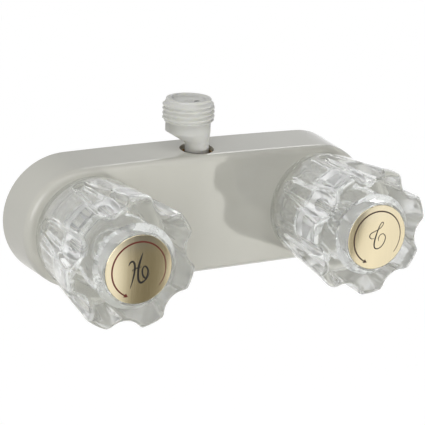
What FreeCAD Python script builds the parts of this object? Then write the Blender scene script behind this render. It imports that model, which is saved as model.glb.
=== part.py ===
import FreeCAD
import Part
import math
import os

# Outdoor shower valve: two clear lobed knobs on a moulded cover, a cast waterway behind the cover
# with two threaded inlet shanks, and a vacuum breaker on top that takes the shower hose.
# Sizes are millimetres and degrees. The origin lies on the wall plane, midway between the valve axes.
# +X points to the cold side, +Y into the wall and +Z up.
# Most pieces are drawn in the face frame: x to the right, y up and z out of the wall.

Vector = FreeCAD.Vector

# Moulded cover
VALVE_CENTRES = 101.6
COVER_LENGTH = 155.6
COVER_HEIGHT = 51.4
COVER_CROWN = 0.6
COVER_DEPTH = 22.0
COVER_DRAFT = 4.0
COVER_WALL = 2.4
COVER_EDGE_RADIUS = 3.0
COVER_RIB_SPACING = 46.0
COVER_RIB_THICKNESS = 1.6
COVER_RIB_SETBACK = 1.0
OUTLET_HOLE_DIAMETER = 14.0

# Cast waterway
CHAMBER_DIAMETER = 19.0
CHAMBER_WALL = 5.7
CHAMBER_FLOOR = 7.0
CHAMBER_FOOT = 1.0
CHAMBER_FOOT_RADIUS = 1.5
NECK_WALL = 3.4
NECK_LENGTH = 5.0
NECK_CHAMFER = 0.8
SHANK_DIAMETER = 20.9
SHANK_LENGTH = 24.0
SHANK_CHAMFER = 1.0
SHANK_BORE_DIAMETER = 14.0
SHANK_BORE_DEPTH = 21.0
PORT_OFFSET = 4.9
PORT_DIAMETER = 4.0
PORT_POCKET_DIAMETER = 7.4
PORT_POCKET_DEPTH = 8.4
CROSS_TUBE_DIAMETER = 13.6
CROSS_TUBE_BORE = 9.2
OUTLET_OUT = 12.0
TOWER_DIAMETER = 14.6
TOWER_TOP = 18.4
SOCKET_FLOOR = 8.4

# Valve stem, its bonnet and what seals them
STEM_DIAMETER = 10.0
STEM_FOOT_THICKNESS = 3.5
STEM_WAIST_DIAMETER = 4.6
STEM_GLAND_START = 17.0
STEM_GLAND_LENGTH = 5.5
STEM_SPLINE_START = 37.0
STEM_SPLINE_LENGTH = 14.5
SPLINE_DIAMETER = 8.6
SPLINE_DEPTH = 0.6
SPLINE_TEETH = 12
RING_SECTION = 2.2
RING_GROOVE_RATIO = 1.2
BONNET_WALL = 3.0
BONNET_FLATS = 21.0
BONNET_HEAD = 4.5
BONNET_CHAMFER = 1.0
BONNET_SLEEVE = 1.6
BONNET_FLANGE_HEIGHT = 1.2
SEAL_HEIGHT = 3.5
SEAL_BORE = 3.6
SPRING_WIRE = 0.7
SPRING_TURNS = 3
COVER_NUT_DIAMETER = 30.4
COVER_NUT_HEIGHT = 4.2
COVER_NUT_CHAMFER = 0.6
COVER_NUT_NOTCHES = 6
COVER_NUT_NOTCH_WIDTH = 3.0
COVER_NUT_NOTCH_DEPTH = 1.2

# What clamps the shanks to the wall panel
PANEL_THICKNESS = 6.0
WASHER_DIAMETER = 34.0
WASHER_THICKNESS = 1.6
LOCK_NUT_FLATS = 28.6
LOCK_NUT_HEIGHT = 6.0
LOCK_NUT_CHAMFER = 1.2

# Clear knob
KNOB_GAP = 2.4
KNOB_LENGTH = 45.4
KNOB_BASE_DIAMETER = 45.0
KNOB_LOBE_DIAMETER = 52.8
KNOB_LOBES = 7
KNOB_FACE_SETBACK = 3.8
KNOB_SKIRT_HEIGHT = 3.6
KNOB_SKIRT_STEP = 0.5
KNOB_SHOULDER_RADIUS = 3.2
KNOB_BOSS_DIAMETER = 33.0
KNOB_BOSS_RIM = 0.7
KNOB_CAVITY_DIAMETER = 35.0
KNOB_CAVITY_DEPTH = 19.0
KNOB_CAVITY_TAPER = 2.0
KNOB_POST_DIAMETER = 15.4
KNOB_POST_LENGTH = 8.0
KNOB_SCREW_SEAT = 3.0
KNOB_END_GAP = 2.5
FLUTE_START = 4.6
FLUTE_END_RADIUS = 4.2
FLUTE_END_DEPTH = 2.2
FLUTE_FRONT_RADIUS = 8.6
FLUTE_FRONT_DEPTH = 4.8
FLUTE_EDGE_RADIUS = 1.8
HOT_LOBE_ANGLE = 32.7
COLD_LOBE_ANGLE = 19.0

# Index button and knob screw
BUTTON_DIAMETER = 26.2
BUTTON_RECESS = 1.8
BUTTON_DOME = 1.0
BUTTON_COLLAR_DIAMETER = 15.0
BUTTON_COLLAR_LENGTH = 4.0
BUTTON_COLLAR_WALL = 1.2
SCREW_DIAMETER = 4.8
SCREW_LENGTH = 14.0
SCREW_HOLE_SPARE = 2.0
SCREW_HEAD_DIAMETER = 9.2
SCREW_HEAD_HEIGHT = 3.0
SCREW_HEAD_RADIUS = 1.2
SCREW_SLOT_WIDTH = 1.2
SCREW_SLOT_DEPTH = 1.2

# Vacuum breaker: its spout stands beside its neck, and the two are flush on the cold side
SPOUT_THREAD_DIAMETER = 20.9
SPOUT_THREAD_LENGTH = 8.6
SPOUT_DIAMETER = 18.2
SPOUT_RIM_HEIGHT = 1.2
SPOUT_RIM_RADIUS = 0.5
SPOUT_BAND_HEIGHT = 3.5
SPOUT_TOP = 46.8
BREAKER_CONE_HEIGHT = 5.3
BREAKER_NECK_DIAMETER = 9.7
BREAKER_NECK_CHAMFER = 0.6
BREAKER_NECK_BOTTOM = 8.8
BREAKER_CHAMBER_DIAMETER = 12.4
BREAKER_BORE_DIAMETER = 6.0
BREAKER_SEAT_OFFSET = 3.2
BREAKER_FLOOR_WALL = 2.8
VENT_DIAMETER = 1.0
VENT_COUNT = 3
VENT_SPREAD = 40.0
VENT_HEIGHT = 2.7
PLATE_DIAMETER = 13.6
PLATE_THICKNESS = 2.0
PLATE_EDGE_RADIUS = 0.4
PLATE_SETBACK = 1.0
PLATE_PORT_DIAMETER = 3.4
PLATE_PORT_OFFSET = 4.3
PLATE_PORT_ANGLE = -56.0
PLATE_NUB_DIAMETER = 3.4
PLATE_NUB_HEIGHT = 0.35
PLATE_HUB_DIAMETER = 4.8
GASKET_THICKNESS = 0.8
POPPET_THICKNESS = 1.2
POPPET_LIFT = 2.0
POPPET_STOP_GAP = 0.4
POPPET_PIN_DIAMETER = 2.2
POPPET_PIN_LENGTH = 5.6
POPPET_PIN_CHAMFER = 0.3
NECK_RING_SECTION = 1.5
NECK_RING_HEIGHTS = (11.2, 13.8)
CLIP_WIRE = 1.0
CLIP_HEIGHT = 16.6
CLIP_OPENING = 70.0

# Clearances
RUNNING_GAP = 0.05
GUIDE_GAP = 0.1
LOOSE_GAP = 0.25
SEAT_GAP = 0.3

# How far a cutter runs past the face that it opens, and how deep a joined piece starts inside its neighbour
OVERRUN = 1.0

# Heights out of the wall that several pieces share
COVER_INSIDE = COVER_DEPTH - COVER_WALL
NECK_RADIUS = CHAMBER_DIAMETER / 2 + NECK_WALL
NECK_FRONT = COVER_DEPTH + NECK_LENGTH
KNOB_BASE = COVER_DEPTH + KNOB_GAP
KNOB_FRONT = KNOB_BASE + KNOB_LENGTH
KNOB_FACE = KNOB_FRONT - KNOB_FACE_SETBACK
KNOB_ROOF = KNOB_BASE + KNOB_CAVITY_DEPTH
STEM_FOOT = CHAMBER_FLOOR + SEAT_GAP
STEM_END = STEM_SPLINE_START + STEM_SPLINE_LENGTH
SCREW_SEAT = STEM_END + KNOB_END_GAP + KNOB_SCREW_SEAT
BUTTON_SEAT = KNOB_FRONT - BUTTON_RECESS
SPOUT_OFFSET = (SPOUT_DIAMETER - BREAKER_NECK_DIAMETER) / 2
SPOUT_THREAD_TOP = SPOUT_TOP - SPOUT_RIM_HEIGHT
SPOUT_THREAD_BOTTOM = SPOUT_THREAD_TOP - SPOUT_THREAD_LENGTH
BAND_BOTTOM = SPOUT_THREAD_BOTTOM - SPOUT_BAND_HEIGHT
NECK_TOP = BAND_BOTTOM - BREAKER_CONE_HEIGHT
BREAKER_FLOOR = NECK_TOP + BREAKER_CONE_HEIGHT
PLATE_TOP = SPOUT_TOP - PLATE_SETBACK
PLATE_SEAT = PLATE_TOP - PLATE_THICKNESS
POPPET_BOTTOM = BREAKER_FLOOR + GASKET_THICKNESS
POPPET_TOP = POPPET_BOTTOM + POPPET_THICKNESS


def rod(diameter, start, end, x=0.0, y=0.0):
    """Cylinder along z."""
    return Part.makeCylinder(diameter / 2, end - start, Vector(x, y, start))


def tube(outer, inner, start, end, x=0.0, y=0.0):
    """Ring or sleeve along z, from its two diameters."""
    return rod(outer, start, end, x, y).cut(rod(inner, start - OVERRUN, end + OVERRUN, x, y))


def cross_rod(diameter, length):
    """Cylinder along x, centred on the part, in line with the outlet's axis."""
    return Part.makeCylinder(diameter / 2, length, Vector(-length / 2, 0, OUTLET_OUT), Vector(1, 0, 0))


def outlet_rod(diameter, start, end):
    """Cylinder on the outlet's axis, between two heights above the valve axes."""
    return Part.makeCylinder(diameter / 2, end - start, Vector(0, start, OUTLET_OUT), Vector(0, 1, 0))


def hexagon(flats, start, end):
    """Hexagonal prism along z."""
    corner = flats / math.sqrt(3)
    points = [Vector(corner * math.cos(math.radians(a)), corner * math.sin(math.radians(a)), start)
              for a in range(0, 361, 60)]
    return Part.Face(Part.makePolygon(points)).extrude(Vector(0, 0, end - start))


def turned(start, *steps):
    """Solid turned about z from (radius, z) points; a pair of points is an arc's middle and end."""
    here = Vector(start[0], 0, start[1])
    edges = []
    for step in steps + (start,):
        is_arc = isinstance(step[0], tuple)
        end = step[1] if is_arc else step
        there = Vector(end[0], 0, end[1])
        if is_arc:
            middle = Vector(step[0][0], 0, step[0][1])
            edges.append(Part.Arc(here, middle, there).toShape())
        elif (there - here).Length > 1e-6:
            edges.append(Part.LineSegment(here, there).toShape())
        here = there
    return Part.Face(Part.Wire(edges)).revolve(Vector(0, 0, 0), Vector(0, 0, 1), 360)


def ring_of_wire(mean_diameter, wire, height, x=0.0):
    """Round-section ring about z."""
    return Part.makeTorus(mean_diameter / 2, wire / 2, Vector(x, 0, height))


def circle_edges(shape, diameter, height):
    """Round edges of one diameter at one height along z."""
    found = []
    for edge in shape.Edges:
        curve = edge.Curve
        if isinstance(curve, Part.Circle) and abs(curve.Radius - diameter / 2) < 0.01:
            if abs(curve.Center.z - height) < 0.01:
                found.append(edge)
    return found


def around(shape, count, first=0.0):
    """Copies of a shape, evenly turned about z."""
    copies = []
    for index in range(count):
        copy = shape.copy()
        copy.rotate(Vector(0, 0, 0), Vector(0, 0, 1), first + 360.0 * index / count)
        copies.append(copy)
    return copies


def cover_outline(inset, height):
    """Outline of the cover: two round ends, a straight bottom and a slightly crowned top."""
    end_radius = COVER_HEIGHT / 2 - inset
    end_x = COVER_LENGTH / 2 - COVER_HEIGHT / 2
    crown_drop = (end_x ** 2 - COVER_CROWN ** 2) / (2 * COVER_CROWN)
    lean = math.atan2(end_x, crown_drop)
    join_x = end_x + end_radius * math.sin(lean)
    join_y = end_radius * math.cos(lean)
    top = Vector(0, end_radius + COVER_CROWN, height)
    right_join = Vector(join_x, join_y, height)
    left_join = Vector(-join_x, join_y, height)
    right_low = Vector(end_x, -end_radius, height)
    left_low = Vector(-end_x, -end_radius, height)
    edges = [
        Part.Arc(left_join, top, right_join).toShape(),
        Part.Arc(right_join, Vector(end_x + end_radius, 0, height), right_low).toShape(),
        Part.LineSegment(right_low, left_low).toShape(),
        Part.Arc(left_low, Vector(-end_x - end_radius, 0, height), left_join).toShape(),
    ]
    return Part.Wire(edges)


def cover_block(inset, depth, edge_radius):
    """Solid of the cover's outline, drafted towards the front and rounded along its front edge."""
    taper = depth * math.tan(math.radians(COVER_DRAFT))
    block = Part.makeLoft([cover_outline(inset, 0), cover_outline(inset + taper, depth)], True, True)
    front = [edge for edge in block.Edges if all(abs(v.Z - depth) < 0.01 for v in edge.Vertexes)]
    return block.makeFillet(edge_radius, front)


def cover():
    """Open-backed moulded cover with two valve holes, the outlet hole and two locating ribs."""
    inside = cover_block(COVER_WALL, COVER_INSIDE, COVER_EDGE_RADIUS - COVER_WALL / 2)
    shell = cover_block(0, COVER_DEPTH, COVER_EDGE_RADIUS).cut(inside)
    tube_hole = cross_rod(CROSS_TUBE_DIAMETER + 2 * LOOSE_GAP, COVER_LENGTH)
    tube_slot = Part.makeBox(COVER_LENGTH, CROSS_TUBE_DIAMETER + 2 * LOOSE_GAP, OUTLET_OUT + OVERRUN,
                             Vector(-COVER_LENGTH / 2, -CROSS_TUBE_DIAMETER / 2 - LOOSE_GAP, -OVERRUN))
    for side in (-1, 1):
        rib = Part.makeBox(COVER_RIB_THICKNESS, COVER_HEIGHT * 2, COVER_DEPTH * 2,
                           Vector(side * COVER_RIB_SPACING / 2 - COVER_RIB_THICKNESS / 2, -COVER_HEIGHT,
                                COVER_RIB_SETBACK))
        rib = rib.common(inside).cut(tube_hole).cut(tube_slot)
        shell = shell.fuse(rib)
        x = side * VALVE_CENTRES / 2
        shell = shell.cut(rod(2 * (NECK_RADIUS + LOOSE_GAP), COVER_DEPTH / 2, COVER_DEPTH + OVERRUN, x))
    return shell.cut(outlet_rod(OUTLET_HOLE_DIAMETER, COVER_HEIGHT / 4, COVER_HEIGHT)).removeSplitter()


def waterway():
    """Casting that joins two valve chambers to the outlet tower, with a shank behind each chamber."""
    half = VALVE_CENTRES / 2
    chamber_outside = CHAMBER_DIAMETER + 2 * CHAMBER_WALL
    collar = Part.makeSphere(TOWER_DIAMETER / 2, Vector(0, 0, OUTLET_OUT), Vector(0, 1, 0))
    tower = outlet_rod(TOWER_DIAMETER, 0, TOWER_TOP)
    body = cross_rod(CROSS_TUBE_DIAMETER, VALVE_CENTRES).fuse([tower, collar])
    for side in (-1, 1):
        x = side * half
        boss = rod(chamber_outside, CHAMBER_FOOT, COVER_INSIDE, x)
        boss = boss.makeFillet(CHAMBER_FOOT_RADIUS, circle_edges(boss, chamber_outside, CHAMBER_FOOT))
        neck = rod(2 * NECK_RADIUS, COVER_INSIDE - OVERRUN, NECK_FRONT, x)
        neck = neck.makeChamfer(NECK_CHAMFER, circle_edges(neck, 2 * NECK_RADIUS, NECK_FRONT))
        shank = rod(SHANK_DIAMETER, -SHANK_LENGTH, CHAMBER_FOOT + CHAMBER_FOOT_RADIUS, x)
        shank = shank.makeChamfer(SHANK_CHAMFER, circle_edges(shank, SHANK_DIAMETER, -SHANK_LENGTH))
        body = body.fuse([boss, neck, shank])
    body = body.cut(cross_rod(CROSS_TUBE_BORE, VALVE_CENTRES))
    pocket_floor = CHAMBER_FLOOR - PORT_POCKET_DEPTH
    for side in (-1, 1):
        x = side * half
        body = body.cut([
            rod(CHAMBER_DIAMETER, CHAMBER_FLOOR, NECK_FRONT + OVERRUN, x),
            rod(SHANK_BORE_DIAMETER, -SHANK_LENGTH - OVERRUN, SHANK_BORE_DEPTH - SHANK_LENGTH, x),
            rod(PORT_POCKET_DIAMETER, pocket_floor, CHAMBER_FLOOR + OVERRUN, x, PORT_OFFSET),
            rod(PORT_DIAMETER, -SHANK_LENGTH, CHAMBER_FLOOR, x, PORT_OFFSET),
        ])
    socket = BREAKER_NECK_DIAMETER + 2 * GUIDE_GAP
    socket_cut = outlet_rod(socket, SOCKET_FLOOR, TOWER_TOP + OVERRUN)
    feed = outlet_rod(BREAKER_BORE_DIAMETER, 0, SOCKET_FLOOR + OVERRUN)
    groove = Part.makeTorus(socket / 2, CLIP_WIRE / 2 + GUIDE_GAP, Vector(0, CLIP_HEIGHT, OUTLET_OUT),
                            Vector(0, 1, 0))
    return body.cut([socket_cut, feed, groove]).removeSplitter()


def spline(diameter, start, end):
    """Toothed prism that drives the knob."""
    tip = diameter / 2
    root = tip - SPLINE_DEPTH
    points = []
    for index in range(2 * SPLINE_TEETH + 1):
        angle = math.pi * index / SPLINE_TEETH
        radius = tip if index % 2 == 0 else root
        points.append(Vector(radius * math.cos(angle), radius * math.sin(angle), start))
    return Part.Face(Part.makePolygon(points)).extrude(Vector(0, 0, end - start))


def stem(knob_angle):
    """Valve stem: ported foot, waist, grooved gland, shaft, and a spline in line with the knob's."""
    foot_top = STEM_FOOT + STEM_FOOT_THICKNESS
    gland_end = STEM_GLAND_START + STEM_GLAND_LENGTH
    piston = CHAMBER_DIAMETER - 2 * RUNNING_GAP
    groove_middle = STEM_GLAND_START + STEM_GLAND_LENGTH / 2
    solid = rod(piston, STEM_FOOT, foot_top)
    teeth = spline(SPLINE_DIAMETER, STEM_SPLINE_START - OVERRUN, STEM_END)
    teeth.rotate(Vector(0, 0, 0), Vector(0, 0, 1), knob_angle)
    solid = solid.fuse([
        rod(STEM_WAIST_DIAMETER, STEM_FOOT, STEM_GLAND_START + OVERRUN),
        rod(piston, STEM_GLAND_START, gland_end),
        rod(STEM_DIAMETER, gland_end - OVERRUN, STEM_SPLINE_START),
        teeth,
    ])
    groove_half = RING_SECTION * RING_GROOVE_RATIO / 2
    groove = tube(CHAMBER_DIAMETER + OVERRUN, CHAMBER_DIAMETER - 2 * RING_SECTION,
                  groove_middle - groove_half, groove_middle + groove_half)
    hole_end = SCREW_SEAT - SCREW_LENGTH - SCREW_HOLE_SPARE
    screw_hole = rod(SCREW_DIAMETER + 2 * RUNNING_GAP, hole_end, STEM_END + OVERRUN)
    port = rod(PORT_DIAMETER, STEM_FOOT - OVERRUN, foot_top + OVERRUN, PORT_OFFSET)
    return solid.cut([groove, screw_hole, port])


def stem_ring():
    """O-ring in the stem's gland."""
    middle = STEM_GLAND_START + STEM_GLAND_LENGTH / 2
    return ring_of_wire(CHAMBER_DIAMETER - RING_SECTION - RUNNING_GAP, RING_SECTION - RUNNING_GAP, middle)


def bonnet():
    """Hexagon-headed bush that screws into the chamber, covers the neck's rim and keeps the stem in."""
    start = STEM_GLAND_START + STEM_GLAND_LENGTH + SEAT_GAP
    head_end = NECK_FRONT + BONNET_HEAD
    barrel = rod(CHAMBER_DIAMETER - 2 * GUIDE_GAP, start, NECK_FRONT)
    flange = rod(2 * NECK_RADIUS, NECK_FRONT, NECK_FRONT + BONNET_FLANGE_HEIGHT)
    head = hexagon(BONNET_FLATS, NECK_FRONT, head_end)
    corner = BONNET_FLATS / math.sqrt(3)
    crown = turned((0, NECK_FRONT), (corner, NECK_FRONT), (corner, head_end - BONNET_CHAMFER),
                   (BONNET_FLATS / 2 - BONNET_CHAMFER / 2, head_end), (0, head_end))
    sleeve_end = head_end + BONNET_SLEEVE
    sleeve = rod(STEM_DIAMETER + 2 * BONNET_WALL, head_end - OVERRUN, sleeve_end)
    bore = rod(STEM_DIAMETER + 2 * RUNNING_GAP, start - OVERRUN, sleeve_end + OVERRUN)
    return barrel.fuse([flange, head.common(crown), sleeve]).cut(bore)


def port_seal():
    """Rubber seat that the spring presses against the stem's foot."""
    top = CHAMBER_FLOOR
    return tube(PORT_POCKET_DIAMETER - 2 * GUIDE_GAP, SEAL_BORE, top - SEAL_HEIGHT, top, 0, PORT_OFFSET)


def arc_to(start, corner, end):
    """Arc from start to end, whose tangents there meet at corner."""
    middle = (start + end) / 2
    rise = (corner - middle).Length
    half_turn = math.asin(rise / (corner - start).Length)
    sagitta = (end - start).Length / 2 * math.tan(half_turn / 2)
    return Part.Arc(start, middle + (corner - middle) * (sagitta / rise), end).toShape()


def coil_path(radius, pitch, turns):
    """Rising coil about z, as two tangent arcs for each quarter turn."""
    stations = []
    for quarter in range(4 * turns + 1):
        angle = math.pi / 2 * quarter
        point = Vector(radius * math.cos(angle), radius * math.sin(angle), pitch * quarter / 4)
        heading = Vector(-math.sin(angle), math.cos(angle), pitch / (2 * math.pi * radius)).normalize()
        stations.append((point, heading))
    edges = []
    for (start, leaving), (end, arriving) in zip(stations, stations[1:]):
        chord = end - start
        both = leaving + arriving
        along = chord.dot(both)
        spare = 4 - both.dot(both)
        reach = (math.sqrt(along ** 2 + spare * chord.dot(chord)) - along) / spare
        first_corner = start + leaving * reach
        second_corner = end - arriving * reach
        join = (first_corner + second_corner) / 2
        edges += [arc_to(start, first_corner, join), arc_to(join, second_corner, end)]
    return Part.Wire(edges), stations[0][1]


def seal_spring():
    """Coil spring behind the port seal."""
    bottom = CHAMBER_FLOOR - PORT_POCKET_DEPTH
    height = PORT_POCKET_DEPTH - SEAL_HEIGHT - SPRING_WIRE
    radius = PORT_POCKET_DIAMETER / 2 - SPRING_WIRE / 2 - 2 * GUIDE_GAP
    path, heading = coil_path(radius, height / SPRING_TURNS, SPRING_TURNS)
    section = Part.Wire(Part.makeCircle(SPRING_WIRE / 2, Vector(radius, 0, 0), heading))
    coil = path.makePipeShell([section], True, False)
    coil.translate(Vector(0, PORT_OFFSET, bottom + SPRING_WIRE / 2))
    return coil


def cover_nut():
    """Notched ring nut that clamps the cover to the waterway's neck."""
    end = COVER_DEPTH + COVER_NUT_HEIGHT
    nut = tube(COVER_NUT_DIAMETER, 2 * NECK_RADIUS + 2 * RUNNING_GAP, COVER_DEPTH, end)
    nut = nut.makeChamfer(COVER_NUT_CHAMFER, circle_edges(nut, COVER_NUT_DIAMETER, end))
    notch = Part.makeBox(COVER_NUT_DIAMETER, COVER_NUT_NOTCH_WIDTH, COVER_NUT_HEIGHT,
                         Vector(COVER_NUT_DIAMETER / 2 - COVER_NUT_NOTCH_DEPTH, -COVER_NUT_NOTCH_WIDTH / 2,
                                end - COVER_NUT_HEIGHT / 2))
    return nut.cut(around(notch, COVER_NUT_NOTCHES))


def wall_washer():
    """Flat washer behind the wall panel."""
    bore = SHANK_DIAMETER + 2 * LOOSE_GAP
    return tube(WASHER_DIAMETER, bore, -PANEL_THICKNESS - WASHER_THICKNESS, -PANEL_THICKNESS)


def lock_nut():
    """Hexagon nut that holds a shank to the wall panel."""
    front = -PANEL_THICKNESS - WASHER_THICKNESS
    back = front - LOCK_NUT_HEIGHT
    corner = LOCK_NUT_FLATS / math.sqrt(3)
    chamfered = turned((0, back), (LOCK_NUT_FLATS / 2 - LOCK_NUT_CHAMFER / 4, back),
                       (corner, back + LOCK_NUT_CHAMFER), (corner, front), (0, front))
    nut = hexagon(LOCK_NUT_FLATS, back, front).common(chamfered)
    return nut.cut(rod(SHANK_DIAMETER + 2 * RUNNING_GAP, back - OVERRUN, front + OVERRUN))


def knob_radius(height):
    """Radius of the knob's tapered side."""
    share = (height - KNOB_BASE) / (KNOB_FACE - KNOB_BASE)
    return (KNOB_BASE_DIAMETER + share * (KNOB_LOBE_DIAMETER - KNOB_BASE_DIAMETER)) / 2


def flute_cutter():
    """Ball-ended tapered cutter that starts shallow near the knob's base and ends deep at its face."""
    start = KNOB_BASE + FLUTE_START + FLUTE_END_RADIUS
    start_axis = knob_radius(start) - FLUTE_END_DEPTH + FLUTE_END_RADIUS
    face_axis = KNOB_LOBE_DIAMETER / 2 - FLUTE_FRONT_DEPTH + FLUTE_FRONT_RADIUS
    length = math.hypot(KNOB_FACE - start, face_axis - start_axis)
    slope = math.asin((FLUTE_FRONT_RADIUS - FLUTE_END_RADIUS) / length)
    lean = math.degrees(math.atan2(face_axis - start_axis, KNOB_FACE - start))
    reach = length * 1.3
    tangent = (FLUTE_END_RADIUS * math.cos(slope), -FLUTE_END_RADIUS * math.sin(slope))
    end = (tangent[0] + reach * math.tan(slope), tangent[1] + reach)
    middle = (math.pi / 2 - slope) / 2
    ball = (FLUTE_END_RADIUS * math.sin(middle), -FLUTE_END_RADIUS * math.cos(middle))
    cutter = turned((0, -FLUTE_END_RADIUS), (ball, tangent), end, (0, end[1]))
    cutter.rotate(Vector(0, 0, 0), Vector(0, 1, 0), lean)
    cutter.translate(Vector(start_axis, 0, start))
    return cutter


def is_flute_face(face):
    """A flute's taper is the only cone whose axis leans, and its ball end the only sphere."""
    surface = face.Surface
    if isinstance(surface, Part.Cone):
        return abs(surface.Axis.z) < 0.9999
    return isinstance(surface, Part.Sphere)


def flute_edges(solid):
    """Edges where a flute meets the rest of the knob."""
    found = []
    for edge in solid.Edges:
        faces = solid.ancestorsOfType(edge, Part.Face)
        if len(faces) == 2 and is_flute_face(faces[0]) != is_flute_face(faces[1]):
            found.append(edge)
    return found


def knob_outside():
    """Skirt, fluted taper with rounded lobes, and the boss round the index button."""
    skirt_top = KNOB_BASE + KNOB_SKIRT_HEIGHT
    skirt = knob_radius(skirt_top) - KNOB_SKIRT_STEP
    step_top = skirt_top + KNOB_SKIRT_STEP
    boss = KNOB_BOSS_DIAMETER / 2
    rim = BUTTON_DIAMETER / 2 + GUIDE_GAP + KNOB_BOSS_RIM
    blank = turned((0, KNOB_BASE), (skirt, KNOB_BASE), (skirt, skirt_top), (knob_radius(step_top), step_top),
                   (KNOB_LOBE_DIAMETER / 2, KNOB_FACE), (boss, KNOB_FACE), (rim, KNOB_FRONT), (0, KNOB_FRONT))
    blank = blank.makeFillet(KNOB_SHOULDER_RADIUS, circle_edges(blank, KNOB_LOBE_DIAMETER, KNOB_FACE))
    fluted = blank.cut(around(flute_cutter(), KNOB_LOBES, 180.0 / KNOB_LOBES))
    return fluted.makeFillet(FLUTE_EDGE_RADIUS, flute_edges(fluted))


def knob(lobe_angle):
    """Clear lobed knob with its rear cavity, splined post, screw seat and button recess."""
    cavity = KNOB_CAVITY_DIAMETER / 2
    cavity_end = cavity - KNOB_CAVITY_TAPER
    post = KNOB_POST_DIAMETER / 2
    post_end = KNOB_ROOF - KNOB_POST_LENGTH
    hollow = turned((post, KNOB_BASE - OVERRUN), (cavity, KNOB_BASE - OVERRUN), (cavity, KNOB_BASE),
                    (cavity_end, KNOB_ROOF), (post, KNOB_ROOF))
    hollow = hollow.makeFillet(KNOB_CAVITY_TAPER, circle_edges(hollow, 2 * cavity_end, KNOB_ROOF))
    socket = spline(SPLINE_DIAMETER + 2 * GUIDE_GAP, post_end - OVERRUN, STEM_END + KNOB_END_GAP)
    shaft = STEM_DIAMETER / 2 + LOOSE_GAP
    beside_post = post + OVERRUN
    lead_in = turned((0, KNOB_BASE - OVERRUN), (beside_post, KNOB_BASE - OVERRUN), (beside_post, post_end),
                     (shaft, post_end), (shaft, STEM_SPLINE_START), (0, STEM_SPLINE_START + shaft / 2))
    screw_hole = rod(SCREW_DIAMETER + 2 * LOOSE_GAP, STEM_END - OVERRUN, SCREW_SEAT + OVERRUN)
    head_bore = rod(BUTTON_COLLAR_DIAMETER + 2 * GUIDE_GAP, SCREW_SEAT, BUTTON_SEAT + OVERRUN)
    recess = rod(BUTTON_DIAMETER + 2 * GUIDE_GAP, BUTTON_SEAT, KNOB_FRONT + OVERRUN)
    solid = knob_outside().cut([hollow, lead_in, socket, screw_hole, head_bore, recess])
    solid.rotate(Vector(0, 0, 0), Vector(0, 0, 1), lobe_angle)
    return solid


def index_button():
    """Domed button that snaps into the knob's recess over the screw."""
    edge = BUTTON_SEAT + BUTTON_RECESS - GUIDE_GAP
    radius = BUTTON_DIAMETER / 2
    dome_radius = (radius ** 2 + BUTTON_DOME ** 2) / (2 * BUTTON_DOME)
    disc = rod(BUTTON_DIAMETER, BUTTON_SEAT, edge + BUTTON_DOME)
    disc = disc.common(Part.makeSphere(dome_radius, Vector(0, 0, edge + BUTTON_DOME - dome_radius)))
    collar = tube(BUTTON_COLLAR_DIAMETER, BUTTON_COLLAR_DIAMETER - 2 * BUTTON_COLLAR_WALL,
                  BUTTON_SEAT - BUTTON_COLLAR_LENGTH, BUTTON_SEAT + BUTTON_RECESS / 2)
    return disc.fuse(collar).removeSplitter()


def knob_screw():
    """Slotted pan-head screw that holds the knob on the stem."""
    head_top = SCREW_SEAT + SCREW_HEAD_HEIGHT
    head = rod(SCREW_HEAD_DIAMETER, SCREW_SEAT, head_top)
    head = head.makeFillet(SCREW_HEAD_RADIUS, circle_edges(head, SCREW_HEAD_DIAMETER, head_top))
    slot = Part.makeBox(SCREW_HEAD_DIAMETER, SCREW_SLOT_WIDTH, SCREW_SLOT_DEPTH,
                        Vector(-SCREW_HEAD_DIAMETER / 2, -SCREW_SLOT_WIDTH / 2, head_top - SCREW_SLOT_DEPTH))
    return head.fuse(rod(SCREW_DIAMETER, SCREW_SEAT - SCREW_LENGTH, SCREW_SEAT)).cut(slot)


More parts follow.
